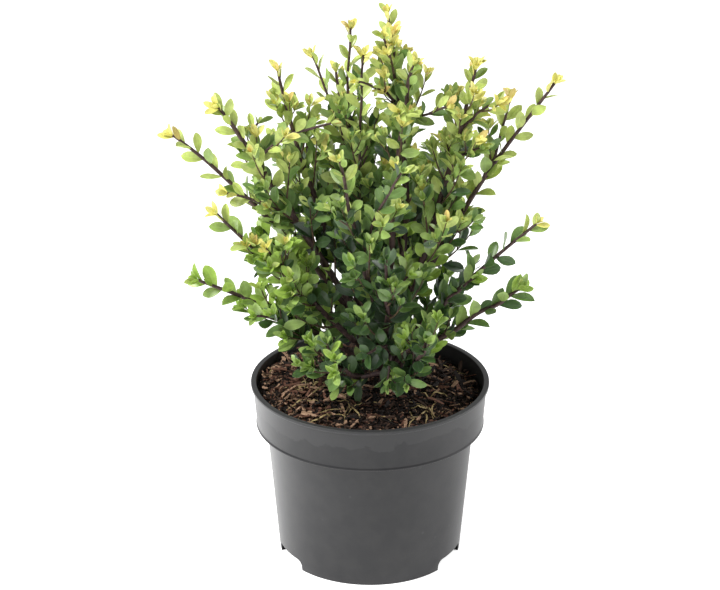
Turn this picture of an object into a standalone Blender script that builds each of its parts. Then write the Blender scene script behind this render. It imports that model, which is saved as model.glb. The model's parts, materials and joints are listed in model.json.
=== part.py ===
"""A japanese holly growing in a round nursery pot: pot, soil, trunk, boughs and masses of foliage.

Metres, +Z up. The origin is the middle of the pot's flat underside and the front is -Y.
"""

import math
import random

import bmesh
import bpy
from mathutils import Matrix, Vector
from mathutils.bvhtree import BVHTree

# Pot, a thin moulded shell with a collar, a raised channel round its foot and drain slots
POT_HEIGHT = 0.1776
RIM_RADIUS = 0.115
RIM_WIDTH = 0.0032
RIM_DEPTH = 0.003
COLLAR_TOP_RADIUS = 0.1128
COLLAR_BOTTOM_RADIUS = 0.1098
COLLAR_BOTTOM = 0.1340
BODY_TOP_RADIUS = 0.1004
BASE_RADIUS = 0.0884
EDGE_ROUND = 0.0007
WALL = 0.002
FOOT_RADIUS = 0.077
CHANNEL_HEIGHT = 0.012
POT_SEGMENTS = 40
NOTCH_AZIMUTHS = (-27, 27, 153, 207)
NOTCH_WIDTH = 0.0455
NOTCH_HEIGHT = 0.0105
DRAIN_RADIUS = 0.0028
DRAIN_COUNT = 8

# Soil, heaped a little round the plant's foot
CLEARANCE = 0.0003
SOIL_EDGE = 0.1600
SOIL_CROWN = 0.1690
SOIL_RINGS = (0.094, 0.078, 0.058, 0.040, 0.024)
SOIL_UNEVEN = 0.0022

# Trunk
TRUNK_X, TRUNK_Y = 0.018, 0.0
TRUNK_TOP = 0.030
TRUNK_RADIUS = 0.0085
TRUNK_FLARE = 0.0145
TRUNK_SIDES = 12

# Shoots: direction seen from above (degrees from +X), how far the tip is from the trunk's axis,
# how high it is above the ground, how far out and up the middle of its curve is pulled (shares of
# reach and rise), the share of its length that is a bare bough, its radius at the trunk, and the
# share of the rest that carries side twigs.
SHOOTS = {
    "far_left": dict(
        azimuth=177, reach=0.214, height=0.434, out=0.35, up=0.50,
        bough=0.30, radius=0.0031, twiggy=0.46,
    ),
    "left_upper": dict(
        azimuth=196, reach=0.172, height=0.484, out=0.80, up=0.80,
        bough=0.26, radius=0.0033, twiggy=0.48,
    ),
    "left_tall": dict(
        azimuth=164, reach=0.111, height=0.496, out=0.80, up=0.55,
        bough=0.26, radius=0.0030, twiggy=0.75,
    ),
    "left_mid": dict(
        azimuth=203, reach=0.182, height=0.388, out=0.36, up=0.32,
        bough=0.26, radius=0.0027, twiggy=0.75,
    ),
    "left_low": dict(
        azimuth=189, reach=0.195, height=0.300, out=0.60, up=0.62,
        bough=0.0, radius=0.0025, twiggy=0.50,
    ),
    "crown_left": dict(
        azimuth=139, reach=0.070, height=0.490, out=0.50, up=0.50,
        bough=0.26, radius=0.0029, twiggy=0.50,
    ),
    "top": dict(
        azimuth=180, reach=0.005, height=0.562, out=-6.0, up=0.45,
        bough=0.26, radius=0.0034, twiggy=0.88,
    ),
    "crown_right": dict(
        azimuth=310, reach=0.040, height=0.520, out=0.25, up=0.75,
        bough=0.27, radius=0.0030, twiggy=0.60,
    ),
    "right_tall": dict(
        azimuth=352, reach=0.082, height=0.512, out=0.70, up=0.55,
        bough=0.30, radius=0.0033, twiggy=0.85,
    ),
    "far_right": dict(
        azimuth=2, reach=0.161, height=0.490, out=0.05, up=0.27,
        bough=0.46, radius=0.0032, twiggy=0.45,
    ),
    "right_mid": dict(
        azimuth=343, reach=0.152, height=0.367, out=0.20, up=0.30,
        bough=0.28, radius=0.0026, twiggy=0.20,
    ),
    "right_low": dict(
        azimuth=351, reach=0.136, height=0.288, out=0.80, up=0.72,
        bough=0.0, radius=0.0024, twiggy=0.25,
    ),
    "front_left": dict(
        azimuth=234, reach=0.104, height=0.266, out=0.80, up=0.14,
        bough=0.0, radius=0.0023, twiggy=0.80,
    ),
    "front_right": dict(
        azimuth=289, reach=0.106, height=0.274, out=0.85, up=0.40,
        bough=0.0, radius=0.0023, twiggy=0.80,
    ),
    "front_high": dict(
        azimuth=246, reach=0.118, height=0.456, out=0.52, up=0.46,
        bough=0.25, radius=0.0028, twiggy=0.50,
    ),
    "front_mid": dict(
        azimuth=268, reach=0.110, height=0.360, out=0.70, up=0.50,
        bough=0.0, radius=0.0024, twiggy=0.70,
    ),
    "back_left": dict(
        azimuth=128, reach=0.165, height=0.388, out=0.46, up=0.48,
        bough=0.26, radius=0.0028, twiggy=0.90,
    ),
    "back_right": dict(
        azimuth=62, reach=0.152, height=0.393, out=0.44, up=0.50,
        bough=0.27, radius=0.0029, twiggy=0.90,
    ),
    "back_low_left": dict(
        azimuth=142, reach=0.150, height=0.278, out=0.52, up=0.42,
        bough=0.0, radius=0.0024, twiggy=0.85,
    ),
    "back_low_right": dict(
        azimuth=42, reach=0.120, height=0.272, out=0.50, up=0.44,
        bough=0.0, radius=0.0024, twiggy=0.58,
    ),
    "back_low": dict(
        azimuth=90, reach=0.150, height=0.285, out=0.52, up=0.42,
        bough=0.0, radius=0.0024, twiggy=0.90,
    ),
    "back_high": dict(
        azimuth=86, reach=0.115, height=0.440, out=0.50, up=0.48,
        bough=0.25, radius=0.0029, twiggy=0.92,
    ),
}
# Leaders: the share of the mass's stem at which each forks off, and where it ends.
LEADERS = {
    "left_upper": [
        dict(fork=0.50, azimuth=184, reach=0.123, height=0.444),
        dict(fork=0.42, azimuth=212, reach=0.064, height=0.454),
        dict(fork=0.12, azimuth=193, reach=0.155, height=0.385),
    ],
    "crown_left": [
        dict(fork=0.30, azimuth=145, reach=0.088, height=0.489),
        dict(fork=0.12, azimuth=215, reach=0.030, height=0.514),
        dict(fork=0.36, azimuth=146, reach=0.044, height=0.526),
    ],
    "top": [
        dict(fork=0.64, azimuth=254, reach=0.024, height=0.534),
        dict(fork=0.60, azimuth=226, reach=0.042, height=0.493),
        dict(fork=0.50, azimuth=330, reach=0.060, height=0.468),
    ],
    "crown_right": [
        dict(fork=0.45, azimuth=279, reach=0.051, height=0.470),
    ],
    "right_tall": [
        dict(fork=0.45, azimuth=345, reach=0.088, height=0.425),
        dict(fork=0.62, azimuth=352, reach=0.100, height=0.466),
    ],
    "far_right": [dict(fork=0.46, azimuth=6, reach=0.112, height=0.462)],
    "right_mid": [dict(fork=0.10, azimuth=335, reach=0.088, height=0.300)],
    "left_low": [dict(fork=0.12, azimuth=201, reach=0.134, height=0.266)],
    "left_mid": [dict(fork=0.20, azimuth=212, reach=0.135, height=0.345)],
    "front_left": [dict(fork=0.06, azimuth=222, reach=0.098, height=0.222)],
    "front_right": [dict(fork=0.06, azimuth=281, reach=0.086, height=0.212)],
    "front_high": [dict(fork=0.16, azimuth=275, reach=0.112, height=0.436)],
    "front_mid": [
        dict(fork=0.20, azimuth=282, reach=0.080, height=0.320),
        dict(fork=0.02, azimuth=257, reach=0.092, height=0.246),
    ],
    "back_left": [dict(fork=0.15, azimuth=110, reach=0.150, height=0.352)],
    "back_right": [dict(fork=0.15, azimuth=78, reach=0.148, height=0.345)],
}
START_HEIGHTS = (0.25, 0.90)
LEAST_FORK = 0.04
TIP_RADIUS = 0.0010
LIMB_TAPER = 0.8
TIP_TUFT = 0.016
FORK_GAP = 0.0012
LIMB_STEPS = 7
BOUGH_SIDES = 6
STEM_SIDES = 4

# Twigs and leaves
TWIG_SIDES = 3
TWIG_RADIUS = 0.0015
TWIG_TIP_RADIUS = 0.0010
TWIG_LENGTH = 0.066
TWIG_STEPS = 2
LEADER_STEPS = 4
TWIG_PITCH = 0.057
TWIG_ANGLE = 52
TWIG_ANGLE_DRIFT = 8
TWIG_SPIN_DRIFT = 20
TWIG_LIFT = 0.35
TWIG_DWINDLE = 0.45
TWIG_MOST = 0.42
TWIG_TRIES = (1.0, 0.72, 0.5, 0.34)
LEAF_LENGTH = 0.0300
LEAF_WIDTH = 0.0185
LEAF_THICKNESS = 0.0009
LEAF_PITCH = 0.0175
ROOT_SUNK = 0.0003
UNIT_LEAF_THICKNESS = 0.038
STALK_SHARE = 0.22
# The leaf's outline: share of its length, and of its width to each side
LEAF_OUTLINE = ((STALK_SHARE, 0.18), (0.60, 0.5), (1, 0), (0.60, -0.5), (STALK_SHARE, -0.18))
LEAF_ANGLE = 54
LEAF_ANGLE_DRIFT = 9
LEAF_SPIN_DRIFT = 14
LEAF_CLOSING = 0.35
LEAF_LIFT = 0.12
LEAF_SIZES = (0.82, 1.12)
LEAF_DWINDLE = 0.18
TIP_LEAF_SIZE = 0.72
GOLDEN_ANGLE = 137.5
SPACE_MARGIN = 0.0022
LIMB_MARGIN = 0.0020
SOIL_MARGIN = 0.0030
RIM_MARGIN = 0.0050
BARE_AT_TIP = 0.26

COLOURS = {
    "pot": ((0.090, 0.091, 0.094), 0.48),
    "soil": ((0.060, 0.032, 0.020), 0.95),
    "wood": ((0.085, 0.045, 0.040), 0.75),
    "leaf": ((0.085, 0.205, 0.035), 0.45),
}


def clear_scene():
    for thing in list(bpy.data.objects):
        bpy.data.objects.remove(thing)


def make_material(name):
    colour, roughness = COLOURS[name]
    material = bpy.data.materials.new(name)
    material.use_nodes = True
    shader = material.node_tree.nodes["Principled BSDF"]
    shader.inputs["Base Color"].default_value = (*colour, 1)
    shader.inputs["Roughness"].default_value = roughness
    shader.inputs["Metallic"].default_value = 0.0
    return material


def make_object(name, bm, material=None, collection=None):
    mesh = bpy.data.meshes.new(name)
    bmesh.ops.recalc_face_normals(bm, faces=bm.faces)
    bm.to_mesh(mesh)
    bm.free()
    thing = bpy.data.objects.new(name, mesh)
    (collection or bpy.context.scene.collection).objects.link(thing)
    if material:
        mesh.materials.append(material)
    return thing


def apply_boolean(target, operand, operation, solver="EXACT"):
    """Cuts or joins every object of a collection with the target, then removes them."""
    modifier = target.modifiers.new("join", "BOOLEAN")
    modifier.operation = operation
    modifier.operand_type = "COLLECTION"
    modifier.collection = operand
    modifier.solver = solver
    bpy.context.view_layer.update()
    graph = bpy.context.evaluated_depsgraph_get()
    joined = bpy.data.meshes.new_from_object(target.evaluated_get(graph), depsgraph=graph)
    target.modifiers.clear()
    joined.name = target.name
    target.data = joined
    for helper in list(operand.objects):
        bpy.data.objects.remove(helper)
    bpy.data.collections.remove(operand)


def new_collection(name):
    collection = bpy.data.collections.new(name)
    bpy.context.scene.collection.children.link(collection)
    return collection


def keep_main_body(thing):
    """Drops loose scraps and fills any hollow that the join sealed: only the biggest shell stays."""
    bm = bmesh.new()
    bm.from_mesh(thing.data)
    bmesh.ops.remove_doubles(bm, verts=bm.verts, dist=1e-6)
    shells, seen = [], set()
    for start in bm.faces:
        if start in seen:
            continue
        shell, reached = {start}, [start]
        while reached:
            for edge in reached.pop().edges:
                for face in edge.link_faces:
                    if face not in shell:
                        shell.add(face)
                        reached.append(face)
        seen |= shell
        shells.append(shell)
    shells.sort(key=len, reverse=True)
    for shell in shells[1:]:
        bmesh.ops.delete(bm, geom=list(shell), context="FACES")
    bm.to_mesh(thing.data)
    bm.free()


def turn_profile(profile, segments):
    """A solid of revolution about Z from a closed outline whose first and last points are on the axis."""
    bm = bmesh.new()
    line = [bm.verts.new((radius, 0, height)) for radius, height in profile]
    edges = [bm.edges.new(pair) for pair in zip(line, line[1:])]
    bmesh.ops.spin(
        bm,
        geom=line + edges,
        cent=(0, 0, 0),
        axis=(0, 0, 1),
        angle=2 * math.pi,
        steps=segments,
        use_merge=True,
    )
    bmesh.ops.remove_doubles(bm, verts=bm.verts, dist=1e-6)
    return bm


def wall_radius(height):
    """The pot's outer radius at a height, below its collar."""
    return BASE_RADIUS + (BODY_TOP_RADIUS - BASE_RADIUS) * height / COLLAR_BOTTOM


def make_pot(material):
    ceiling = CHANNEL_HEIGHT
    floor = ceiling + WALL
    inner_floor = wall_radius(floor) - WALL
    outline = [
        (0, 0),
        (FOOT_RADIUS - 0.002, 0),
        (FOOT_RADIUS, 0.002),
        (FOOT_RADIUS, ceiling),
        (wall_radius(ceiling) - WALL, ceiling),
        (wall_radius(0) - WALL, 0),
        (wall_radius(0), 0),
        (BODY_TOP_RADIUS, COLLAR_BOTTOM),
        (COLLAR_BOTTOM_RADIUS - EDGE_ROUND, COLLAR_BOTTOM),
        (COLLAR_BOTTOM_RADIUS, COLLAR_BOTTOM + EDGE_ROUND),
        (COLLAR_TOP_RADIUS, POT_HEIGHT - RIM_DEPTH - 0.001),
        (RIM_RADIUS, POT_HEIGHT - RIM_DEPTH),
        (RIM_RADIUS, POT_HEIGHT - EDGE_ROUND),
        (RIM_RADIUS - EDGE_ROUND, POT_HEIGHT),
        (RIM_RADIUS - RIM_WIDTH - WALL, POT_HEIGHT),
        (COLLAR_BOTTOM_RADIUS - WALL, COLLAR_BOTTOM + WALL),
        (BODY_TOP_RADIUS - WALL, COLLAR_BOTTOM + WALL),
        (inner_floor, floor),
        (FOOT_RADIUS - WALL, floor),
        (FOOT_RADIUS - WALL, WALL),
        (0, WALL),
    ]
    pot = make_object("pot", turn_profile(outline, POT_SEGMENTS), material)
    cutters = new_collection("pot cutters")
    for azimuth in NOTCH_AZIMUTHS:
        notch = bmesh.new()
        bmesh.ops.create_cube(notch, size=1)
        depth = wall_radius(0) - FOOT_RADIUS - 0.002
        middle = (FOOT_RADIUS + wall_radius(0)) / 2 + 0.004
        turn = Matrix.Rotation(math.radians(azimuth), 4, "Z")
        place = turn @ Matrix.Translation((middle, 0, 0)) @ Matrix.Diagonal(
            (depth + 0.006, NOTCH_WIDTH, 2 * NOTCH_HEIGHT, 1)
        )
        bmesh.ops.transform(notch, matrix=place, verts=notch.verts)
        top_ends = [
            edge
            for edge in notch.edges
            if all(v.co.z > 0 for v in edge.verts)
            and abs(((edge.verts[0].co - edge.verts[1].co).normalized()).dot(turn.col[0].xyz)) > 0.9
        ]
        bmesh.ops.bevel(
            notch, geom=top_ends, offset=0.006, segments=3, profile=0.5, affect="EDGES", material=-1
        )
        make_object("notch", notch, None, cutters)
    for index in range(DRAIN_COUNT):
        hole = bmesh.new()
        angle = 2 * math.pi * (index + 0.5) / DRAIN_COUNT
        middle = (FOOT_RADIUS + wall_radius(ceiling) - WALL) / 2
        place = Matrix.Translation((middle * math.cos(angle), middle * math.sin(angle), ceiling))
        bmesh.ops.create_cone(
            hole, cap_ends=True, segments=8, radius1=DRAIN_RADIUS, radius2=DRAIN_RADIUS,
            depth=4 * WALL, matrix=place,
        )
        make_object("drain", hole, None, cutters)
    apply_boolean(pot, cutters, "DIFFERENCE")
    keep_main_body(pot)
    return pot


def soil_height(radius):
    """Height of the heaped soil at a distance from the pot's middle."""
    share = min(radius / (RIM_RADIUS - 0.012), 1)
    return SOIL_CROWN - (SOIL_CROWN - SOIL_EDGE) * share ** 2.4


def inside_radius(height):
    """The pot's inner radius at a height within its collar."""
    share = (height - COLLAR_BOTTOM) / (POT_HEIGHT - COLLAR_BOTTOM)
    top = RIM_RADIUS - RIM_WIDTH - WALL
    return COLLAR_BOTTOM_RADIUS - WALL + (top - COLLAR_BOTTOM_RADIUS + WALL) * share


def make_soil(material):
    gap = CLEARANCE
    floor = CHANNEL_HEIGHT + WALL + gap
    outline = [
        (0, WALL + gap),
        (FOOT_RADIUS - WALL - gap, WALL + gap),
        (FOOT_RADIUS - WALL - gap, floor),
        (wall_radius(floor) - WALL - 2 * gap, floor),
        (BODY_TOP_RADIUS - WALL - 2 * gap, COLLAR_BOTTOM + WALL + gap),
        (inside_radius(COLLAR_BOTTOM + WALL) - 2 * gap, COLLAR_BOTTOM + WALL + gap),
        (inside_radius(SOIL_EDGE) - 2 * gap, SOIL_EDGE),
    ]
    outline += [(radius, soil_height(radius)) for radius in SOIL_RINGS]
    outline += [(0, SOIL_CROWN)]
    bm = turn_profile(outline, POT_SEGMENTS)
    rng = random.Random("soil")
    foot = Vector((TRUNK_X, TRUNK_Y))
    for vertex in bm.verts:
        on_top = vertex.co.z > SOIL_EDGE + 0.0005
        near_foot = (vertex.co.xy - foot).length < 2 * TRUNK_FLARE
        if near_foot and on_top:
            vertex.co.z = SOIL_CROWN
        elif on_top:
            vertex.co.z += rng.uniform(-SOIL_UNEVEN, SOIL_UNEVEN / 3)
    return make_object("soil", bm, material)


def frame_on(point, direction, side):
    """A placing matrix whose Z runs along a direction, with X as near to side as it can be."""
    along = direction.normalized()
    across = (side - along * side.dot(along)).normalized()
    return Matrix.Translation(point) @ Matrix(
        (across, along.cross(across), along)
    ).transposed().to_4x4()


def limb(path, radii, sides):
    """A closed tapering limb: a ring at each point of its path, bridged to the next."""
    bm = bmesh.new()
    side = Vector((0.31, 0.95, 0.05))
    before = None
    for index, (point, radius) in enumerate(zip(path, radii)):
        ahead = path[min(index + 1, len(path) - 1)] - path[max(index - 1, 0)]
        place = frame_on(point, ahead, side)
        side = place.col[0].xyz
        end = index in (0, len(path) - 1)
        ring = bmesh.ops.create_circle(bm, cap_ends=end, segments=sides, radius=radius, matrix=place)
        edges = list({edge for vertex in ring["verts"] for edge in vertex.link_edges})
        if before:
            bmesh.ops.bridge_loops(bm, edges=before + edges)
        before = edges
    return bm


def from_trunk(azimuth, reach, height):
    angle = math.radians(azimuth)
    return Vector((TRUNK_X + reach * math.cos(angle), TRUNK_Y + reach * math.sin(angle), height))


def bend(start, middle, end, share):
    """A point of the curve that leaves start towards middle and comes to end from it."""
    return start.lerp(middle, share).lerp(middle.lerp(end, share), share)


def curve_line(start, middle, end, steps):
    return [bend(start, middle, end, k / steps) for k in range(steps + 1)]


def length_of(line):
    return sum((b - a).length for a, b in zip(line, line[1:]))


def station(line, share, spin):
    """A place along a line of points: where it is, the way ahead, and a side turned by spin degrees."""
    place = share * (len(line) - 1)
    low = min(int(place), len(line) - 2)
    ahead = (line[low + 1] - line[low]).normalized()
    side = ahead.orthogonal().normalized()
    side.rotate(Matrix.Rotation(math.radians(spin), 3, ahead))
    return line[low].lerp(line[low + 1], place - low), ahead, side


class Shoot:
    """One stem from the trunk to its tip, with its leaders."""

    def __init__(self, name, sizes):
        self.name = name
        self.bough = sizes["bough"]
        self.radius = sizes["radius"]
        self.twiggy = sizes["twiggy"]
        rise = sizes["height"] - SOIL_CROWN
        steep = rise / (rise + sizes["reach"])
        low, high = START_HEIGHTS
        self.start = Vector((TRUNK_X, TRUNK_Y, SOIL_CROWN + TRUNK_TOP * (low + (high - low) * steep)))
        tip = from_trunk(sizes["azimuth"], sizes["reach"], sizes["height"])
        self.middle = from_trunk(
            sizes["azimuth"], sizes["reach"] * sizes["out"], self.start.z + rise * sizes["up"]
        )
        self.end = tip - (tip - self.middle).normalized() * TIP_TUFT
        self.fork = LEAST_FORK

    def first(self):
        """The share of the shoot's length at which its mass of foliage starts."""
        return max(self.fork, self.bough)

    def leaders(self):
        """Start, knee and tip of each second leader."""
        found = []
        for leader in LEADERS.get(self.name, []):
            fork = self.first() + (1 - self.first()) * leader["fork"]
            root = self.at(fork)
            tip = from_trunk(leader["azimuth"], leader["reach"], leader["height"])
            ahead = (self.at(fork + 0.02) - root).normalized()
            knee = root + ahead * (tip - root).length * 0.45
            found.append((root, knee, tip))
        return found

    def at(self, share):
        return bend(self.start, self.middle, self.end, share)

    def thick(self, share):
        return self.radius + (TIP_RADIUS - self.radius) * share ** LIMB_TAPER

    def length(self):
        return length_of([self.at(k / 20) for k in range(21)])

    def stretch(self, first, last, steps, sides):
        shares = [first + (last - first) * k / steps for k in range(steps + 1)]
        return limb([self.at(s) for s in shares], [self.thick(s) for s in shares], sides)


def leave_trunk(shoots):
    """Where each shoot has drawn clear of every other: the trunk forks up to there."""
    shares = [k / 100 for k in range(101)]
    lines = {shoot.name: [shoot.at(s) for s in shares] for shoot in shoots}
    foot = Vector((TRUNK_X, TRUNK_Y, SOIL_CROWN))
    for shoot in shoots:
        for share, point in zip(shares, lines[shoot.name]):
            crowd = (point - foot).length < TRUNK_TOP + TRUNK_RADIUS
            for other in shoots:
                if other is shoot:
                    continue
                apart = min((point - q).length for q in lines[other.name])
                crowd = crowd or apart < shoot.thick(share) + other.radius + FORK_GAP
            if crowd:
                shoot.fork = share + 0.01
    return shoots


def make_trunk(shoots, material):
    height = TRUNK_TOP
    levels = (0.0, 0.10, 0.25, 0.50, 0.80, 1.0)
    radii = [TRUNK_RADIUS + (TRUNK_FLARE - TRUNK_RADIUS) * (1 - s) ** 4 for s in levels]
    radii[-1] = TRUNK_RADIUS * 0.6
    foot = Vector((TRUNK_X, TRUNK_Y, SOIL_CROWN + CLEARANCE))
    path = [foot + Vector((0, 0, height * s)) for s in levels]
    trunk = make_object("trunk", limb(path, radii, TRUNK_SIDES), material)
    forks = new_collection("trunk forks")
    for shoot in shoots:
        steps = max(2, round(shoot.fork * LIMB_STEPS * 1.5))
        make_object("fork", shoot.stretch(0, shoot.fork, steps, BOUGH_SIDES), None, forks)
    apply_boolean(trunk, forks, "UNION")
    keep_main_body(trunk)
    return trunk


def leaf_mesh():
    """One leaf a unit long: widest past its middle, thin, a little cupped, eight faces."""
    bm = bmesh.new()
    bmesh.ops.create_uvsphere(bm, u_segments=4, v_segments=2, radius=1)
    places = {
        (1, 0, 0): (1, 0, 0.0),
        (-1, 0, 0): (0, 0, 0),
        (0, 1, 0): (0.60, 0.5, 0.06),
        (0, -1, 0): (0.60, -0.5, 0.06),
        (0, 0, 1): (0.56, 0, UNIT_LEAF_THICKNESS / 2),
        (0, 0, -1): (0.54, 0, -UNIT_LEAF_THICKNESS / 2),
    }
    for vertex in bm.verts:
        vertex.co = places[tuple(round(value) for value in vertex.co)]
    mesh = bpy.data.meshes.new("leaf")
    bmesh.ops.recalc_face_normals(bm, faces=bm.faces)
    bm.to_mesh(mesh)
    bm.free()
    return mesh


class Grower:
    """Grows the foliage of each mass in its own space by one seeded rule."""

    def __init__(self, shoots, material):
        self.material = material
        self.leaf = leaf_mesh()
        self.bones = {shoot.name: self.skeleton(shoot) for shoot in shoots}
        self.limbs = [
            (shoot.at(k / 80), shoot.thick(k / 80))
            for shoot in shoots
            for k in range(round(80 * shoot.first()) + 1)
        ]

    def skeleton(self, shoot):
        first = shoot.first()
        points = [shoot.at(first + (1 - first) * k / 30) for k in range(31)]
        for leader in shoot.leaders():
            points += curve_line(*leader, 14)
        return points

    def is_free(self, name, point):
        """True where a point lies in the mass's own space, above the soil and off every limb."""
        radius = point.xy.length
        if point.z < soil_height(radius) + SOIL_MARGIN:
            return False
        if point.z < POT_HEIGHT + RIM_MARGIN and radius > inside_radius(point.z) - RIM_MARGIN:
            return False
        own = min((point - bone).length for bone in self.bones[name])
        for other, bones in self.bones.items():
            if other == name:
                continue
            if min((point - bone).length for bone in bones) < own + SPACE_MARGIN:
                return False
        return all((point - spot).length > radius + LIMB_MARGIN for spot, radius in self.limbs)

    def add_leaf(self, mass, root, direction, up, scale):
        """Adds a leaf where its blade keeps to the mass's space and crosses nothing."""
        along = direction.normalized()
        face = (up - along * up.dot(along)).normalized()
        across = face.cross(along)
        size = LEAF_LENGTH * scale
        wide = LEAF_WIDTH * scale
        rest = root - along * ROOT_SUNK
        blade = [rest + along * size * a + across * wide * b for a, b in LEAF_OUTLINE]
        if not all(self.is_free(mass.name, spot) for spot in blade):
            return
        surface = BVHTree.FromPolygons(blade, [range(len(blade))])
        if any(surface.overlap(other) for other in mass.surfaces):
            return
        mass.surfaces.append(surface)
        mass.leaves += 1
        leaf = bpy.data.objects.new("leaf", self.leaf)
        leaf.matrix_world = Matrix.Translation(rest) @ Matrix(
            (along * size, across * wide, face * LEAF_THICKNESS / UNIT_LEAF_THICKNESS)
        ).transposed().to_4x4()
        mass.parts.objects.link(leaf)

    def clothe(self, mass, line, rng, first):
        """Leaves set spirally along a line of points, with a tuft of young ones at its tip."""
        count = max(1, round(length_of(line) * (1 - first) / LEAF_PITCH))
        spin = rng.uniform(0, 360)
        for index in range(count + 1):
            share = first + (1 - first) * index / count
            spin += GOLDEN_ANGLE + rng.uniform(-LEAF_SPIN_DRIFT, LEAF_SPIN_DRIFT)
            root, ahead, side = station(line, share, spin)
            drift = rng.uniform(-LEAF_ANGLE_DRIFT, LEAF_ANGLE_DRIFT)
            angle = math.radians(LEAF_ANGLE * (1 - LEAF_CLOSING * share) + drift)
            direction = ahead * math.cos(angle) + side * math.sin(angle)
            direction.z += LEAF_LIFT
            size = rng.uniform(*LEAF_SIZES) * (1 - LEAF_DWINDLE * share)
            self.add_leaf(mass, root, direction, ahead, size)
        tip, ahead, side = station(line, 1, 0)
        self.add_leaf(mass, tip, ahead + side * 0.2, side, TIP_LEAF_SIZE)

    def branch(self, mass, line, rng, first, last, longest):
        """Side twigs along part of a line, each shortened until it fits or skipped."""
        length = length_of(line)
        spin = rng.uniform(0, 360)
        travelled = TWIG_PITCH / 2 + length * first
        while travelled < length * last:
            share = travelled / length
            spin += GOLDEN_ANGLE + rng.uniform(-TWIG_SPIN_DRIFT, TWIG_SPIN_DRIFT)
            root, ahead, side = station(line, share, spin)
            angle = math.radians(TWIG_ANGLE + rng.uniform(-TWIG_ANGLE_DRIFT, TWIG_ANGLE_DRIFT))
            direction = ahead * math.cos(angle) + side * math.sin(angle)
            lifted = (direction + Vector((0, 0, TWIG_LIFT))).normalized()
            reach = min(longest * (1 - TWIG_DWINDLE * share), length * TWIG_MOST)
            reach *= rng.uniform(0.8, 1.15)
            for shorter in TWIG_TRIES:
                tip = root + lifted * reach * shorter
                knee = root + direction * reach * shorter / 2
                twig = curve_line(root, knee, tip, TWIG_STEPS)
                if all(self.is_free(mass.name, spot) for spot in [root.lerp(twig[1], 0.5)] + twig[1:]):
                    mass.add_twig(twig)
                    break
            travelled += TWIG_PITCH * rng.uniform(0.85, 1.2)

    def grow(self, shoot):
        """The mass at a shoot's end: stem and leaders, side twigs on each, then leaves on them all."""
        rng = random.Random("mass " + shoot.name)
        first = shoot.first()
        gap = CLEARANCE / shoot.length()
        steps = max(4, round(LIMB_STEPS * (1 - first)))
        bark = shoot.stretch(first + gap, 1, steps, STEM_SIDES)
        mass = Mass(shoot.name, new_collection("parts of " + shoot.name))
        mass.surfaces.append(BVHTree.FromBMesh(bark))
        stem = make_object("foliage_" + shoot.name, bark, self.material)
        main = [shoot.at(first + (1 - first) * k / 24) for k in range(25)]
        leaders = [curve_line(*leader, LEADER_STEPS) for leader in shoot.leaders()]
        for leader in leaders:
            mass.add_twig(leader)
        last = min(shoot.twiggy, 1 - BARE_AT_TIP)
        self.branch(mass, main, rng, 0.02, last, TWIG_LENGTH)
        for leader in leaders:
            self.branch(mass, leader, rng, 0.22, last, TWIG_LENGTH * 0.7)
        self.clothe(mass, main, rng, 0.05)
        for twig in mass.twigs:
            self.clothe(mass, twig, rng, 0.3)
        apply_boolean(stem, mass.parts, "UNION")
        keep_main_body(stem)
        print(stem.name, mass.leaves, "leaves")
        return mass.leaves


class Mass:
    """What a mass has so far: the pieces to be joined, its twigs' lines and every surface in it."""

    def __init__(self, name, parts):
        self.name = name
        self.parts = parts
        self.twigs = []
        self.surfaces = []
        self.leaves = 0

    def add_twig(self, line):
        steps = len(line) - 1
        radii = [TWIG_RADIUS + (TWIG_TIP_RADIUS - TWIG_RADIUS) * k / steps for k in range(steps + 1)]
        bark = limb(line, radii, TWIG_SIDES)
        self.surfaces.append(BVHTree.FromBMesh(bark))
        self.twigs.append(line)
        make_object("twig", bark, None, self.parts)


def make_boughs(shoots, material):
    for shoot in shoots:
        if shoot.bough <= shoot.fork:
            continue
        gap = CLEARANCE / shoot.length()
        steps = max(3, round(LIMB_STEPS * (shoot.bough - shoot.fork) * 1.5))
        bough = shoot.stretch(shoot.fork + gap, shoot.bough, steps, BOUGH_SIDES)
        make_object("bough_" + shoot.name, bough, material)


def main():
    clear_scene()
    wood = make_material("wood")
    make_pot(make_material("pot"))
    make_soil(make_material("soil"))
    shoots = leave_trunk([Shoot(name, sizes) for name, sizes in SHOOTS.items()])
    make_trunk(shoots, wood)
    make_boughs(shoots, wood)
    grower = Grower(shoots, make_material("leaf"))
    leaves = sum(grower.grow(shoot) for shoot in shoots)
    print(leaves, "leaves in all")


main()
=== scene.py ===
# The looks of a japanese holly in its nursery pot. Metres, +Z up, front at -Y.
import json
import math
import random

import bmesh
import bpy
import numpy as np
from mathutils import Matrix, Vector, noise
from mathutils.kdtree import KDTree

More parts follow.
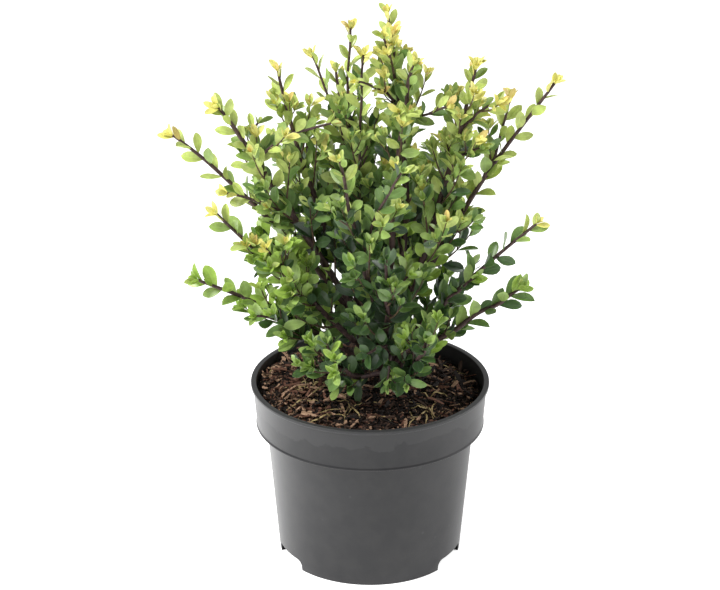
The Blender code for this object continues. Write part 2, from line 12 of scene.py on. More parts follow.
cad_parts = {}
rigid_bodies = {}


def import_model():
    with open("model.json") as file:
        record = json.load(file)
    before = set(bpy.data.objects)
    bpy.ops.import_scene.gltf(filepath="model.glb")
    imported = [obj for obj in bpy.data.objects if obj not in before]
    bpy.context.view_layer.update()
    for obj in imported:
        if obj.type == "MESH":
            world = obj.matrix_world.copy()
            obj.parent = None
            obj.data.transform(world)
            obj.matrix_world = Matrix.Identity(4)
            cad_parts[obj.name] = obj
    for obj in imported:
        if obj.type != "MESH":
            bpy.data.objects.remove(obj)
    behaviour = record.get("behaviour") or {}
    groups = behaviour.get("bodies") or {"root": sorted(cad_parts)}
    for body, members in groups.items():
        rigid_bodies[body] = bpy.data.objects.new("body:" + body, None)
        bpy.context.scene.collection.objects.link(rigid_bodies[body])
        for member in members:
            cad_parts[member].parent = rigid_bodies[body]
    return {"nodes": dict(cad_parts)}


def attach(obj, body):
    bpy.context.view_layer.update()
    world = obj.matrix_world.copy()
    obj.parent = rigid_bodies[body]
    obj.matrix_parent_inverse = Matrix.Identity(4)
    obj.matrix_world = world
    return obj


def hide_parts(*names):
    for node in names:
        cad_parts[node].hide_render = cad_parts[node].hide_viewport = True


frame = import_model()
noise.seed_set(11)  # the noise gives the same sways and lumps on every run
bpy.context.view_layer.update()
print("frame loaded:", len(frame["nodes"]), "nodes")


# Helpers that every piece uses

def newObject(name, mesh):
    piece = bpy.data.objects.new(name, mesh)
    bpy.context.scene.collection.objects.link(piece)
    return piece


def finishPiece(piece, materials, nodes):
    piece.data.materials.clear()
    for material in materials:
        piece.data.materials.append(material)
    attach(piece, "root")
    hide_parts(*nodes)
    return piece


def meshFrom(name, bm, creaseAngle=None):
    mesh = bpy.data.meshes.new(name)
    bm.to_mesh(mesh)
    bm.free()
    if creaseAngle:
        mesh.shade_smooth()
        mesh.set_sharp_from_angle(angle=math.radians(creaseAngle))
    return mesh


def applyModifiers(piece):
    bpy.context.view_layer.update()
    graph = bpy.context.evaluated_depsgraph_get()
    mesh = bpy.data.meshes.new_from_object(piece.evaluated_get(graph), depsgraph=graph)
    piece.modifiers.clear()
    mesh.name = piece.name
    piece.data = mesh


def spunProfile(profile, segments):
    bm = bmesh.new()
    line = [bm.verts.new((radius, 0, height)) for radius, height in profile]
    edges = [bm.edges.new(pair) for pair in zip(line, line[1:])]
    bmesh.ops.spin(
        bm, geom=line + edges, cent=(0, 0, 0), axis=(0, 0, 1), angle=2 * math.pi, steps=segments, use_merge=True
    )
    bmesh.ops.remove_doubles(bm, verts=bm.verts, dist=1e-6)
    bmesh.ops.recalc_face_normals(bm, faces=bm.faces)
    return bm


def mix(low, high, share):
    return low + (high - low) * share


# Materials: a surface of one colour, mottled towards another by noise, with a fine bump

def newSurface(name, colour, other, roughness, mottle, bump, specular=0.5, stretch=(1, 1, 1)):
    material = bpy.data.materials.new(name)
    material.use_nodes = True
    nodes, links = material.node_tree.nodes, material.node_tree.links
    shader = nodes["Principled BSDF"]
    shader.inputs["Roughness"].default_value = roughness
    shader.inputs["Specular IOR Level"].default_value = specular
    place = nodes.new("ShaderNodeTexCoord")
    mapping = nodes.new("ShaderNodeMapping")
    mapping.inputs["Scale"].default_value = stretch
    links.new(place.outputs["Object"], mapping.inputs["Vector"])
    cloud = nodes.new("ShaderNodeTexNoise")
    cloud.inputs["Scale"].default_value = mottle
    cloud.inputs["Detail"].default_value = 4
    links.new(mapping.outputs["Vector"], cloud.inputs["Vector"])
    ramp = nodes.new("ShaderNodeValToRGB")
    ramp.color_ramp.elements[0].position = 0.35
    ramp.color_ramp.elements[0].color = (*colour, 1)
    ramp.color_ramp.elements[1].position = 0.65
    ramp.color_ramp.elements[1].color = (*other, 1)
    links.new(cloud.outputs["Fac"], ramp.inputs["Fac"])
    links.new(ramp.outputs["Color"], shader.inputs["Base Color"])
    grain = nodes.new("ShaderNodeTexNoise")
    grain.inputs["Scale"].default_value = bump["scale"]
    grain.inputs["Detail"].default_value = 3
    links.new(mapping.outputs["Vector"], grain.inputs["Vector"])
    relief = nodes.new("ShaderNodeBump")
    relief.inputs["Strength"].default_value = bump["strength"]
    relief.inputs["Distance"].default_value = bump["depth"]
    links.new(grain.outputs["Fac"], relief.inputs["Height"])
    links.new(relief.outputs["Normal"], shader.inputs["Normal"])
    return material


# The pot: a thin moulded shell with a lip, a tapered collar and a raised channel round its foot

potShape = {
    "height": 0.1776,
    "rimRadius": 0.115,
    "rimWidth": 0.0032,
    "rimDepth": 0.0030,
    "collarTop": 0.1128,
    "collarFoot": 0.1098,
    "collarLevel": 0.1340,
    "bodyTop": 0.1004,
    "base": 0.0884,
    "wall": 0.0020,
    "edge": 0.0007,
    "bead": 0.0007,
    "footRadius": 0.077,
    "channel": 0.012,
    "segments": 192,
    "notchAzimuths": (-27, 27, 153, 207),
    "notchWidth": 0.0455,
    "notchHeight": 0.0105,
    "notchWall": 0.0016,
    "drains": 8,
    "drainRadius": 0.0028,
}


def roundedCorner(before, corner, after, radius, steps=3):
    first = corner + (before - corner).normalized() * radius
    last = corner + (after - corner).normalized() * radius
    return [first.lerp(corner, k / steps).lerp(corner.lerp(last, k / steps), k / steps) for k in range(steps + 1)]


def roundOff(corners, radius):
    points = [Vector(corner) for corner in corners]
    line = [points[0]]
    for before, corner, after in zip(points, points[1:], points[2:]):
        room = min((before - corner).length, (after - corner).length) * 0.45
        line += roundedCorner(before, corner, after, min(radius, room))
    return line + [points[-1]]


def bodyRadius(height):
    return mix(potShape["base"], potShape["bodyTop"], height / potShape["collarLevel"])


def innerRadius(height):
    top = potShape["rimRadius"] - potShape["rimWidth"] - potShape["wall"]
    foot = potShape["collarFoot"] - potShape["wall"]
    return mix(foot, top, (height - potShape["collarLevel"]) / (potShape["height"] - potShape["collarLevel"]))


def makePot():
    p = potShape
    wall, channel = p["wall"], p["channel"]
    rimBottom = p["height"] - p["rimDepth"]
    corners = [
        (0, 0),
        (p["footRadius"], 0),
        (p["footRadius"], channel),
        (bodyRadius(channel) - wall, channel),
        (bodyRadius(0) - wall, 0),
        (bodyRadius(0), 0),
        (bodyRadius(p["notchHeight"] + 0.001), p["notchHeight"] + 0.001),
        (bodyRadius(p["notchHeight"] + 0.004), p["notchHeight"] + 0.004),
        (p["bodyTop"], p["collarLevel"]),
        (p["collarFoot"] + p["bead"], p["collarLevel"]),
        (p["collarFoot"] + p["bead"], p["collarLevel"] + 0.0014),
        (p["collarFoot"], p["collarLevel"] + 0.0026),
        (p["collarTop"], rimBottom - 0.001),
        (p["rimRadius"], rimBottom),
        (p["rimRadius"], p["height"]),
        (p["rimRadius"] - p["rimWidth"] - wall, p["height"]),
        (p["collarFoot"] - wall, p["collarLevel"] + wall),
        (p["bodyTop"] - wall, p["collarLevel"] + wall),
        (bodyRadius(channel + wall) - wall, channel + wall),
        (p["footRadius"] - wall, channel + wall),
        (p["footRadius"] - wall, wall),
        (0, wall),
    ]
    pot = newObject("potShell", meshFrom("potShell", spunProfile(roundOff(corners, p["edge"]), p["segments"])))
    cutters = bpy.data.collections.new("cutters")
    bpy.context.scene.collection.children.link(cutters)
    for azimuth in p["notchAzimuths"]:
        notch = bmesh.new()
        bmesh.ops.create_cube(notch, size=1)
        inner = p["footRadius"] + 0.002
        place = Matrix.Rotation(math.radians(azimuth), 4, "Z") @ Matrix.Translation((inner + 0.012, 0, 0))
        bmesh.ops.scale(notch, vec=(0.022, p["notchWidth"], 2 * p["notchHeight"]), verts=notch.verts)
        ends = [e for e in notch.edges if all(v.co.z > 0 for v in e.verts) and abs(e.verts[0].co.y - e.verts[1].co.y) < 1e-6]
        bmesh.ops.bevel(notch, geom=ends, offset=0.006, segments=6, profile=0.5, affect="EDGES", material=-1)
        bmesh.ops.transform(notch, matrix=place, verts=notch.verts)
        cutters.objects.link(bpy.data.objects.new("notch", meshFrom("notch", notch)))
    for index in range(p["drains"]):
        turn = Matrix.Rotation(2 * math.pi * (index + 0.5) / p["drains"], 4, "Z")
        middle = (p["footRadius"] + bodyRadius(channel) - wall) / 2
        hole = bmesh.new()
        bmesh.ops.create_cone(
            hole, cap_ends=True, segments=24, radius1=p["drainRadius"], radius2=p["drainRadius"],
            depth=4 * wall, matrix=turn @ Matrix.Translation((middle, 0, channel)),
        )
        cutters.objects.link(bpy.data.objects.new("drain", meshFrom("drain", hole)))
    cut = pot.modifiers.new("cut", "BOOLEAN")
    cut.operation, cut.operand_type, cut.collection, cut.solver = "DIFFERENCE", "COLLECTION", cutters, "EXACT"
    applyModifiers(pot)
    for cutter in list(cutters.objects):
        bpy.data.objects.remove(cutter)
    bpy.data.collections.remove(cutters)
    pot.data.shade_smooth()
    pot.data.set_sharp_from_angle(angle=math.radians(38))
    finishPiece(pot, [potPlastic()], ["pot"])
    ends = bmesh.new()  # the channel is closed on both sides of each notch
    inner, outer = p["footRadius"] - 0.0004, bodyRadius(0) - 0.0006
    for azimuth in p["notchAzimuths"]:
        for side in (-1, 1):
            half = math.degrees(p["notchWidth"] / 2 / (p["footRadius"] + 0.007))
            turn = Matrix.Rotation(math.radians(azimuth + side * half), 4, "Z")
            place = turn @ Matrix.Translation(((inner + outer) / 2, 0, (0.0004 + channel) / 2))
            wallBox = bmesh.ops.create_cube(ends, size=1)["verts"]
            bmesh.ops.scale(ends, vec=(outer - inner, p["notchWall"], channel - 0.0004), verts=wallBox)
            bmesh.ops.transform(ends, matrix=place, verts=wallBox)
    # The end walls are painted shade: near black, for the shadowed inside of the channel seen through each notch.
    shade = newSurface(
        "recessPlastic", (0.0030, 0.0030, 0.0032), (0.0050, 0.0050, 0.0052), 0.85, 60,
        dict(scale=900, strength=0.10, depth=0.0004), specular=0.1,
    )
    return finishPiece(newObject("notchEnds", meshFrom("notchEnds", ends)), [shade], ["pot"])


def potPlastic():
    plastic = newSurface(
        "potPlastic", (0.014, 0.014, 0.0155), (0.020, 0.0195, 0.0205), 0.38, 60,
        dict(scale=900, strength=0.10, depth=0.0004), specular=0.36,
    )
    nodes, links = plastic.node_tree.nodes, plastic.node_tree.links
    shader = nodes["Principled BSDF"]
    place = nodes["Texture Coordinate"]
    base = shader.inputs["Base Color"].links[0].from_socket
    spots = nodes.new("ShaderNodeTexNoise")  # dried water, with a ragged edge across the collar
    spots.inputs["Scale"].default_value = 34
    spots.inputs["Detail"].default_value = 6
    spots.inputs["Distortion"].default_value = 0.3
    links.new(place.outputs["Object"], spots.inputs["Vector"])
    split = nodes.new("ShaderNodeSeparateXYZ")
    links.new(place.outputs["Object"], split.inputs["Vector"])
    level = nodes.new("ShaderNodeMath")
    level.operation = "MULTIPLY_ADD"
    level.inputs[1].default_value = 0.040
    links.new(spots.outputs["Fac"], level.inputs[0])
    links.new(split.outputs["Z"], level.inputs[2])
    amount = nodes.new("ShaderNodeMapRange")
    amount.inputs["From Min"].default_value = 0.1785
    amount.inputs["From Max"].default_value = 0.1800
    amount.inputs["To Max"].default_value = 0.5
    links.new(level.outputs["Value"], amount.inputs["Value"])
    lipHighlight = nodes.new("ShaderNodeMapRange")  # the top of the lip is painted paler, a painted highlight where it faces the sky
    lipHighlight.inputs["From Min"].default_value = potShape["height"] - 0.0022
    lipHighlight.inputs["From Max"].default_value = potShape["height"] - 0.0006
    lipHighlight.inputs["To Max"].default_value = 0.7
    links.new(split.outputs["Z"], lipHighlight.inputs["Value"])
    specks = nodes.new("ShaderNodeTexVoronoi")  # splashes of dust, most of them low down
    specks.inputs["Scale"].default_value = 42
    links.new(place.outputs["Object"], specks.inputs["Vector"])
    dot = nodes.new("ShaderNodeMapRange")
    dot.inputs["From Min"].default_value, dot.inputs["From Max"].default_value = 0.085, 0.045
    dot.inputs["To Max"].default_value = 0.5
    links.new(specks.outputs["Distance"], dot.inputs["Value"])
    most = amount.outputs["Result"]
    for extra in (lipHighlight, dot):
        joined = nodes.new("ShaderNodeMath")
        joined.operation = "MAXIMUM"
        links.new(most, joined.inputs[0])
        links.new(extra.outputs["Result"], joined.inputs[1])
        most = joined.outputs["Value"]
    # The water stain, the dust specks and the painted highlight on the lip all pull the base colour towards one paler
    # grey.
    stainDustAndHighlight = nodes.new("ShaderNodeMix")
    stainDustAndHighlight.data_type = "RGBA"
    stainDustAndHighlight.inputs["B"].default_value = (0.036, 0.036, 0.037, 1)
    links.new(most, stainDustAndHighlight.inputs["Factor"])
    links.new(base, stainDustAndHighlight.inputs["A"])
    links.new(stainDustAndHighlight.outputs["Result"], shader.inputs["Base Color"])
    return plastic


# Soil, under loose chips of bark and a few straws

soilShape = {
    "edge": 0.1600,
    "crown": 0.1690,
    "fall": 2.4,
    "reach": 0.103,
    "gap": 0.0004,
    "lump": 0.0034,
    "heap": 0.0068,
    "segments": 180,
    "rings": 70,
}


def soilHeight(radius):
    share = min(radius / soilShape["reach"], 1)
    return mix(soilShape["crown"], soilShape["edge"], share ** soilShape["fall"])


def soilTop(x, y):
    lump = noise.fractal(Vector((x, y, 0)) * 90, 0.9, 2.0, 5)
    heap = soilShape["heap"] * min(max(0.35 - x / 0.10, 0), 1.2)
    return soilHeight(math.hypot(x, y)) + heap + soilShape["lump"] * (lump - 0.2)


def makeSoil():
    s, wall = soilShape, potShape["wall"]
    floor = potShape["channel"] + wall + s["gap"]
    shelf = potShape["collarLevel"] + wall + s["gap"]
    edgeRadius = innerRadius(s["edge"]) - 2 * s["gap"]
    profile = [
        (0, wall + s["gap"]),
        (potShape["footRadius"] - wall - s["gap"], wall + s["gap"]),
        (potShape["footRadius"] - wall - s["gap"], floor),
        (bodyRadius(floor) - wall - 2 * s["gap"], floor),
        (potShape["bodyTop"] - wall - 2 * s["gap"], shelf),
        (innerRadius(shelf) - 2 * s["gap"], shelf),
        (edgeRadius, s["edge"] - 0.004),
    ]
    profile += [(edgeRadius * (1 - k / s["rings"]), s["edge"]) for k in range(s["rings"] + 1)]
    bm = spunProfile(profile, s["segments"])
    for vertex in bm.verts:
        if vertex.co.z > s["edge"] - 0.001:
            vertex.co.z = soilTop(vertex.co.x, vertex.co.y)
    soil = newObject("soilBed", meshFrom("soilBed", bm, 60))
    earth = newSurface(
        "darkEarth", (0.006, 0.004, 0.003), (0.022, 0.013, 0.009), 0.95, 260,
        dict(scale=900, strength=0.9, depth=0.0015), specular=0.25,
    )
    return finishPiece(soil, [earth], ["soil"])


# Many small shapes joined into one mesh from arrays

class Heap:
    def __init__(self):
        self.points, self.faces, self.kinds = [], [], []
        self.count = 0

    def add(self, points, faces, kinds):
        self.points.append(points)
        self.faces += [tuple(corner + self.count for corner in face) for face in faces]
        self.kinds += kinds
        self.count += len(points)

    def mesh(self, name, creaseAngle):
        mesh = bpy.data.meshes.new(name)
        mesh.from_pydata(np.concatenate(self.points).tolist(), [], self.faces)
        mesh.polygons.foreach_set("material_index", self.kinds)
        mesh.shade_smooth()
        mesh.set_sharp_from_angle(angle=math.radians(creaseAngle))
        return mesh


def turnedBy(frameMatrix, points):
    matrix = np.array(frameMatrix)
    return points @ matrix[:3, :3].T + matrix[:3, 3]


chipMix = {
    "count": 2300,
    "length": (0.0035, 0.0190),
    "width": (0.0016, 0.0060),
    "thickness": (0.0005, 0.0016),
    "depth": 0.0062,
    "tilt": 40,
    "crumbs": 4200,
    "crumbLength": (0.0010, 0.0034),
    "straws": 58,
    "clumps": ((-0.060, -0.012, 0.020), (-0.028, -0.050, 0.026), (0.060, -0.048, 0.012)),
    "strawLength": (0.012, 0.030),
    "strawWidth": 0.0011,
}

chipTones = {  # darker and paler colour of each kind of bark, and how often it comes
    "barkBlack": ((0.005, 0.003, 0.0025), (0.014, 0.009, 0.007), 0.42),
    "barkBrown": ((0.026, 0.014, 0.009), (0.060, 0.033, 0.022), 0.32),
    "barkRed": ((0.070, 0.030, 0.019), (0.150, 0.068, 0.042), 0.17),
    "barkTan": ((0.200, 0.115, 0.072), (0.400, 0.255, 0.165), 0.11),
}


def chipPoints(rng, length, width, thickness):
    bendUp = rng.uniform(-0.16, 0.22) * length
    points = []
    for step in range(4):
        along = step / 3 - 0.5
        half = width / 2 * (1 - 0.8 * abs(along)) * rng.uniform(0.7, 1.1)
        sway = rng.uniform(-0.14, 0.14) * width
        rise = bendUp * (0.25 - along * along)
        for side, level in ((-1, -1), (1, -1), (1, 1), (-1, 1)):
            points.append((
                along * length + rng.uniform(-0.05, 0.05) * length,
                sway + side * half,
                rise + level * thickness / 2 * rng.uniform(0.6, 1.1),
            ))
    return np.array(points)


chipFaces = [(3, 2, 1, 0), (12, 13, 14, 15)] + [
    (ring + side, ring + (side + 1) % 4, ring + 4 + (side + 1) % 4, ring + 4 + side)
    for ring in (0, 4, 8)
    for side in range(4)
]


def makeMulch():
    rng = random.Random("mulch")
    heaps = {tone: Heap() for tone in chipTones}
    tones = list(chipTones)
    rates = [chipTones[tone][2] for tone in tones]
    for index in range(chipMix["count"] + chipMix["crumbs"]):
        crumb = index >= chipMix["count"]
        radius = (innerRadius(soilShape["edge"]) - 0.003) * math.sqrt(rng.random())
        turn = rng.uniform(0, 2 * math.pi)
        x, y = radius * math.cos(turn), radius * math.sin(turn)
        size = rng.random() ** 2.0
        length = mix(*chipMix["crumbLength" if crumb else "length"], size)
        width = length * rng.uniform(0.4, 0.8) if crumb else mix(*chipMix["width"], rng.random() * (0.4 + 0.6 * size))
        points = chipPoints(rng, length, width, mix(*chipMix["thickness"], rng.random()))
        level = soilTop(x, y) + 0.0004 + chipMix["depth"] * rng.random() ** 2.2
        tilt = Matrix.Rotation(math.radians(rng.gauss(0, chipMix["tilt"] / 2)), 4, "X")
        pitch = Matrix.Rotation(math.radians(rng.gauss(0, chipMix["tilt"] / 2)), 4, "Y")
        spin = Matrix.Rotation(rng.uniform(0, 2 * math.pi), 4, "Z")
        placed = turnedBy(Matrix.Translation((x, y, level)) @ spin @ tilt @ pitch, points)
        if np.hypot(placed[:, 0], placed[:, 1]).max() > innerRadius(soilShape["edge"]) - 0.0012:
            continue
        litAndRedShare = min(max(-x / 0.07, 0), 1)  # paler and redder chips on the left: the redder ones are the bark's colour, the paler ones are painted light where the left of the soil lies out of the crown's shade
        shift = (1 - 0.6 * litAndRedShare, 1 - 0.1 * litAndRedShare, 1 + 1.4 * litAndRedShare, 1 + 2.6 * litAndRedShare)
        if crumb:
            shift = (1.6, 1.0, 0.7, 0.5)
        tone = rng.choices(tones, [rate * change for rate, change in zip(rates, shift)])[0]
        heaps[tone].add(placed, chipFaces, [0] * len(chipFaces))
    for tone, heap in heaps.items():
        darker, paler, rate = chipTones[tone]
        surface = newSurface(
            tone, darker, paler, 0.85, 420, dict(scale=1500, strength=0.6, depth=0.0005), 0.3, (1, 1, 2)
        )
        finishPiece(newObject(tone + "Chips", heap.mesh(tone + "Chips", 25)), [surface], ["soil"])
    straws = Heap()
    for index in range(chipMix["straws"]):
        radius = 0.100 * math.sqrt(rng.random())
        turn = rng.uniform(0, 2 * math.pi)
        length = mix(*chipMix["strawLength"], rng.random())
        heading = rng.uniform(0, 2 * math.pi)
        start = Vector((radius * math.cos(turn), radius * math.sin(turn)))
        if index % 2:  # every other straw lies in one of the clumps at the front
            x, y, spread = chipMix["clumps"][index // 2 % len(chipMix["clumps"])]
            start = Vector((rng.gauss(x, spread / 2), rng.gauss(y, spread / 2)))
        curl = rng.uniform(-1.6, 1.6)
        path = []
        for step in range(9):
            path.append(Vector((start.x, start.y, 0)))
            start = start + Vector((math.cos(heading), math.sin(heading))) * length / 8
            heading += curl / 8
        if max(point.xy.length for point in path) > 0.104:
            continue
        lie = rng.uniform(0.0020, 0.0050)
        for step, point in enumerate(path):
            point.z = soilTop(point.x, point.y) + lie + 0.0022 * math.sin(math.pi * step / 8)
        radii = [chipMix["strawWidth"] / 2 * (0.5 + math.sin(math.pi * (step + 0.6) / 9.2)) for step in range(9)]
        addTube(straws, path, radii, 5, 0, flat=0.45)
    surface = newSurface(
        "dryStraw", (0.200, 0.135, 0.050), (0.420, 0.330, 0.150), 0.7, 300, dict(scale=2000, strength=0.3, depth=0.0003)
    )
    finishPiece(newObject("straws", straws.mesh("straws", 60)), [surface], ["soil"])


# Limbs. A tube is a closed taper round a line of points.

def framesAlong(path):
    side = Vector((0.31, 0.95, 0.05))
    frames = []
    for index, point in enumerate(path):
        ahead = (path[min(index + 1, len(path) - 1)] - path[max(index - 1, 0)]).normalized()
        side = (side - ahead * side.dot(ahead)).normalized()
        frames.append((point, side.copy(), ahead.cross(side)))
    return frames


def addTube(heap, path, radii, sides, kind, flat=1.0):
    angles = [2 * math.pi * k / sides for k in range(sides)]
    points = [tuple(path[0])]
    for (point, across, up), radius in zip(framesAlong(path), radii):
        for angle in angles:
            points.append(tuple(point + across * radius * math.cos(angle) + up * radius * flat * math.sin(angle)))
    points.append(tuple(path[-1]))
    faces = [(0, 1 + (k + 1) % sides, 1 + k) for k in range(sides)]
    for ring in range(len(path) - 1):
        low = 1 + ring * sides
        faces += [(low + k, low + (k + 1) % sides, low + sides + (k + 1) % sides, low + sides + k) for k in range(sides)]
    low, last = 1 + (len(path) - 1) * sides, len(points) - 1
    faces += [(low + k, low + (k + 1) % sides, last) for k in range(sides)]
    heap.add(np.array(points), faces, [kind] * len(faces))


def limbRings(bm, path, radii, sides):
    side = Vector((0.31, 0.95, 0.05))
    before = None
    for index, (point, radius) in enumerate(zip(path, radii)):
        ahead = (path[min(index + 1, len(path) - 1)] - path[max(index - 1, 0)]).normalized()
        side = (side - ahead * side.dot(ahead)).normalized()
        place = Matrix.Translation(point) @ Matrix((side, ahead.cross(side), ahead)).transposed().to_4x4()
        end = index in (0, len(path) - 1)
        ring = bmesh.ops.create_circle(bm, cap_ends=end, segments=sides, radius=radius, matrix=place)
        edges = list({edge for vertex in ring["verts"] for edge in vertex.link_edges})
        if before:
            bmesh.ops.bridge_loops(bm, edges=before + edges)
        before = edges


def curveAt(start, middle, end, share):
    return start.lerp(middle, share).lerp(middle.lerp(end, share), share)


def lengthOf(path):
    return sum((b - a).length for a, b in zip(path, path[1:]))


def pointOn(path, share):
    place = min(max(share, 0), 1) * (len(path) - 1)
    low = min(int(place), len(path) - 2)
    return path[low].lerp(path[low + 1], place - low), (path[low + 1] - path[low]).normalized()


trunkShape = {
    "x": 0.018,
    "y": 0.0,
    "top": 0.030,
    "radius": 0.0085,
    "flare": 0.0145,
    "startHeights": (0.25, 0.90),
    "voxel": 0.0006,
    "relief": 0.00035,
}

# Shoots: azimuth from +X, reach from the trunk's axis, height of the tip, how far out and up the
# middle of the curve is pulled, the share that is a bare bough, the radius at the trunk, and the
# share of the leafy part that carries twigs.
shootSizes = {
    "far_left": dict(azimuth=177, reach=0.214, height=0.434, out=0.35, up=0.50, bough=0.30, radius=0.0031, twiggy=0.46),
    "left_upper": dict(azimuth=196, reach=0.172, height=0.484, out=0.80, up=0.80, bough=0.26, radius=0.0033, twiggy=0.48),
    "left_tall": dict(azimuth=164, reach=0.111, height=0.496, out=0.80, up=0.55, bough=0.26, radius=0.0030, twiggy=0.75),
    "left_mid": dict(azimuth=203, reach=0.182, height=0.388, out=0.36, up=0.32, bough=0.26, radius=0.0027, twiggy=0.75),
    "left_low": dict(azimuth=189, reach=0.195, height=0.300, out=0.60, up=0.62, bough=0.0, radius=0.0025, twiggy=0.50),
    "crown_left": dict(azimuth=139, reach=0.070, height=0.490, out=0.50, up=0.50, bough=0.26, radius=0.0029, twiggy=0.50),
    "top": dict(azimuth=180, reach=0.005, height=0.562, out=-6.0, up=0.45, bough=0.26, radius=0.0034, twiggy=0.82),
    "crown_right": dict(azimuth=310, reach=0.040, height=0.520, out=0.25, up=0.75, bough=0.27, radius=0.0030, twiggy=0.60),
    "right_tall": dict(azimuth=352, reach=0.082, height=0.512, out=0.70, up=0.55, bough=0.30, radius=0.0033, twiggy=0.85),
    "far_right": dict(azimuth=2, reach=0.161, height=0.490, out=0.05, up=0.27, bough=0.46, radius=0.0032, twiggy=0.45),
    "right_mid": dict(azimuth=343, reach=0.152, height=0.367, out=0.20, up=0.30, bough=0.28, radius=0.0026, twiggy=0.20),
    "right_low": dict(azimuth=351, reach=0.136, height=0.288, out=0.80, up=0.72, bough=0.0, radius=0.0024, twiggy=0.25),
    "front_left": dict(azimuth=234, reach=0.104, height=0.266, out=0.80, up=0.14, bough=0.0, radius=0.0023, twiggy=0.80),
    "front_right": dict(azimuth=289, reach=0.106, height=0.274, out=0.85, up=0.40, bough=0.0, radius=0.0023, twiggy=0.80),
    "front_high": dict(azimuth=246, reach=0.118, height=0.456, out=0.52, up=0.46, bough=0.25, radius=0.0028, twiggy=0.50),
    "front_mid": dict(azimuth=268, reach=0.110, height=0.360, out=0.70, up=0.50, bough=0.0, radius=0.0024, twiggy=0.70),
    "back_left": dict(azimuth=128, reach=0.165, height=0.388, out=0.46, up=0.48, bough=0.26, radius=0.0028, twiggy=0.90),
    "back_right": dict(azimuth=62, reach=0.152, height=0.393, out=0.44, up=0.50, bough=0.27, radius=0.0029, twiggy=0.90),
    "back_low_left": dict(azimuth=142, reach=0.150, height=0.278, out=0.52, up=0.42, bough=0.0, radius=0.0024, twiggy=0.85),
    "back_low_right": dict(azimuth=42, reach=0.120, height=0.272, out=0.50, up=0.44, bough=0.0, radius=0.0024, twiggy=0.58),
    "back_low": dict(azimuth=90, reach=0.150, height=0.285, out=0.52, up=0.42, bough=0.0, radius=0.0024, twiggy=0.90),
    "back_high": dict(azimuth=86, reach=0.115, height=0.440, out=0.50, up=0.48, bough=0.25, radius=0.0029, twiggy=0.92),
}

# Leaders: the share of the shoot's leafy part where each forks off, and where it ends.
leaderSizes = {
    "left_upper": [
        dict(fork=0.50, azimuth=184, reach=0.123, height=0.444),
        dict(fork=0.42, azimuth=212, reach=0.064, height=0.454),
        dict(fork=0.12, azimuth=193, reach=0.155, height=0.385),
    ],
    "crown_left": [
        dict(fork=0.30, azimuth=145, reach=0.088, height=0.489),
        dict(fork=0.12, azimuth=215, reach=0.030, height=0.514),
        dict(fork=0.36, azimuth=146, reach=0.044, height=0.526),
    ],
    "top": [
        dict(fork=0.64, azimuth=254, reach=0.024, height=0.534),
        dict(fork=0.60, azimuth=226, reach=0.042, height=0.493),
        dict(fork=0.50, azimuth=330, reach=0.060, height=0.468),
    ],
    "crown_right": [
        dict(fork=0.45, azimuth=279, reach=0.051, height=0.470),
    ],
    "right_tall": [
        dict(fork=0.45, azimuth=345, reach=0.088, height=0.425),
        dict(fork=0.62, azimuth=352, reach=0.100, height=0.466),
    ],
    "far_right": [dict(fork=0.46, azimuth=6, reach=0.112, height=0.462)],
    "right_mid": [dict(fork=0.10, azimuth=335, reach=0.088, height=0.300)],
    "left_low": [dict(fork=0.12, azimuth=201, reach=0.134, height=0.266)],
    "left_mid": [dict(fork=0.20, azimuth=212, reach=0.135, height=0.345)],
    "front_left": [dict(fork=0.06, azimuth=222, reach=0.098, height=0.222)],
    "front_right": [dict(fork=0.06, azimuth=281, reach=0.086, height=0.212)],
    "front_high": [dict(fork=0.16, azimuth=275, reach=0.112, height=0.436)],
    "front_mid": [
        dict(fork=0.20, azimuth=282, reach=0.080, height=0.320),
        dict(fork=0.02, azimuth=257, reach=0.092, height=0.246),
        dict(fork=0.01, azimuth=268, reach=0.064, height=0.203),
    ],
    "back_left": [dict(fork=0.15, azimuth=110, reach=0.150, height=0.352)],
    "back_right": [dict(fork=0.15, azimuth=78, reach=0.148, height=0.345)],
}

limbRule = {
    "tipRadius": 0.0011,
    "taper": 1.35,
    "stout": 1.22,
    "tuft": 0.014,
    "crook": 0.0035,
    "crookPace": 4.5,
    "bareFoot": 0.10,
    "steps": 48,
}


def fromTrunk(azimuth, reach, height):
    angle = math.radians(azimuth)
    return Vector((trunkShape["x"] + reach * math.cos(angle), trunkShape["y"] + reach * math.sin(angle), height))


def crooked(path, seed):
    drift = Vector((seed * 7.3, seed * 3.1, 0))
    bent = []
    for index, point in enumerate(path):
        share = index / (len(path) - 1)
        sway = noise.noise_vector(drift + Vector((0, 0, share * limbRule["crookPace"])))
        bent.append(point + sway * limbRule["crook"] * math.sin(math.pi * share) ** 0.6)
    return bent


